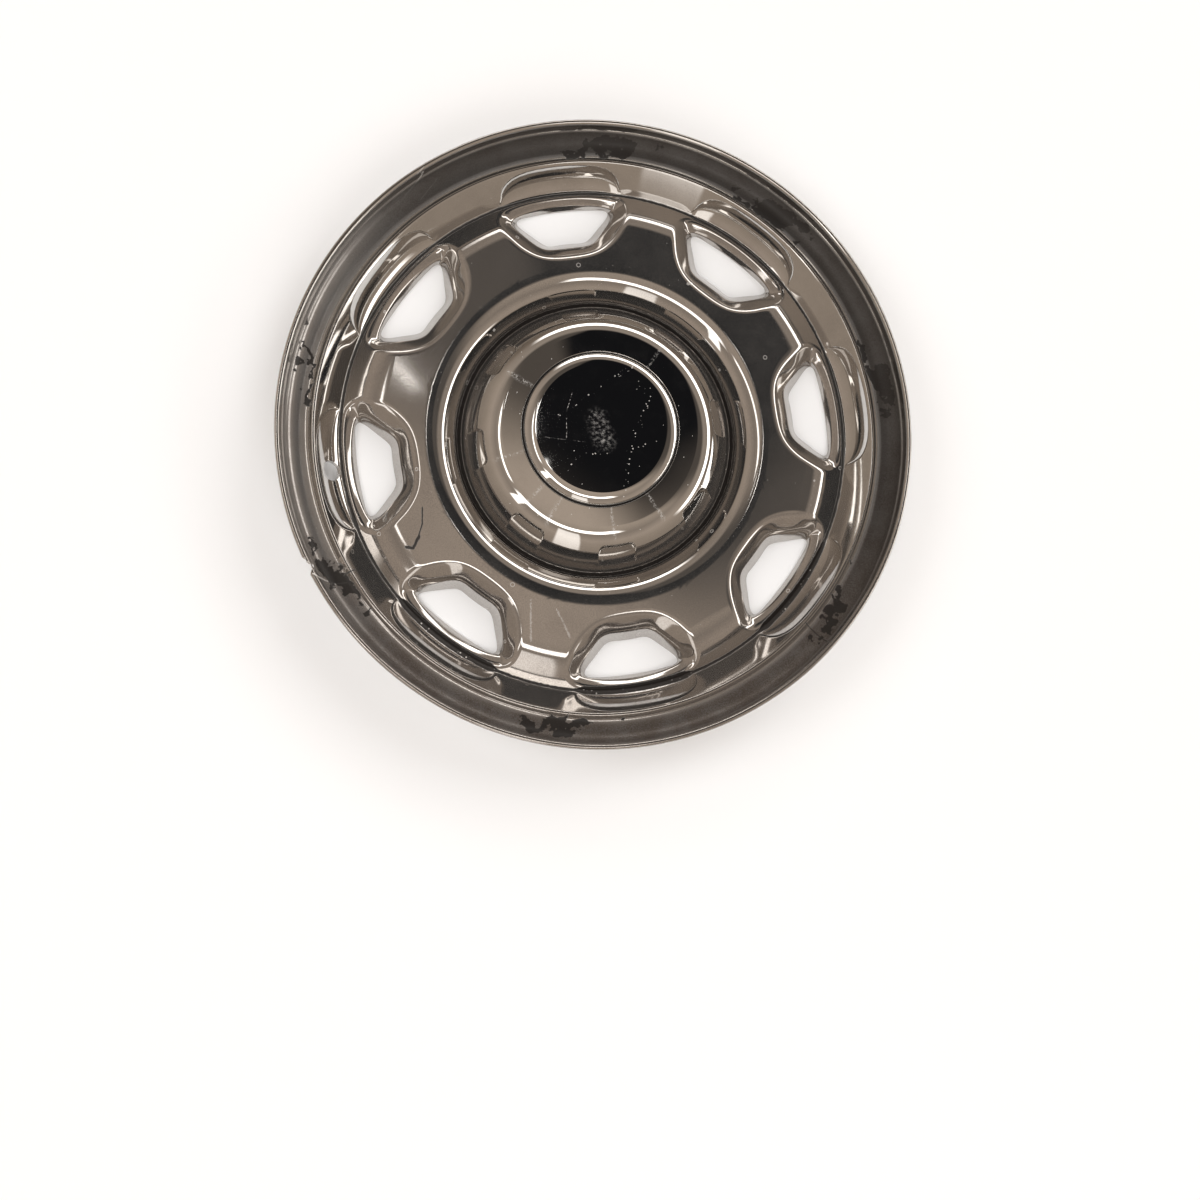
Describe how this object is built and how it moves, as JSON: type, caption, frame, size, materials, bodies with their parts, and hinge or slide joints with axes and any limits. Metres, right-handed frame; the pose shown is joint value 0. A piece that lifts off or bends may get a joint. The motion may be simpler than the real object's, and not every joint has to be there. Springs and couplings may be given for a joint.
{
  "type": "wheel cover",
  "caption": "Full-size chrome wheel cover with flared windows, a domed hub with stud pockets, a rolled rim with a broken edge, and a snap-in retaining ring behind.",
  "frame": {"origin": "centre of the footprint, on the plane of the window hems that the cover lies on", "axes": "+Z along the wheel's axis, out of the show face; +X to the right and +Y up as the picture shows the face"},
  "size_m": [0.42, 0.42, 0.038],
  "materials": {
    "chrome_plating": "polished chrome plating on moulded plastic, worn and dusty",
    "spring_wire": "plain drawn spring wire"
  },
  "bodies": {
    "root": {"wheel_cover": "chrome_plating", "retaining_ring": "spring_wire"}
  },
  "joints": []
}
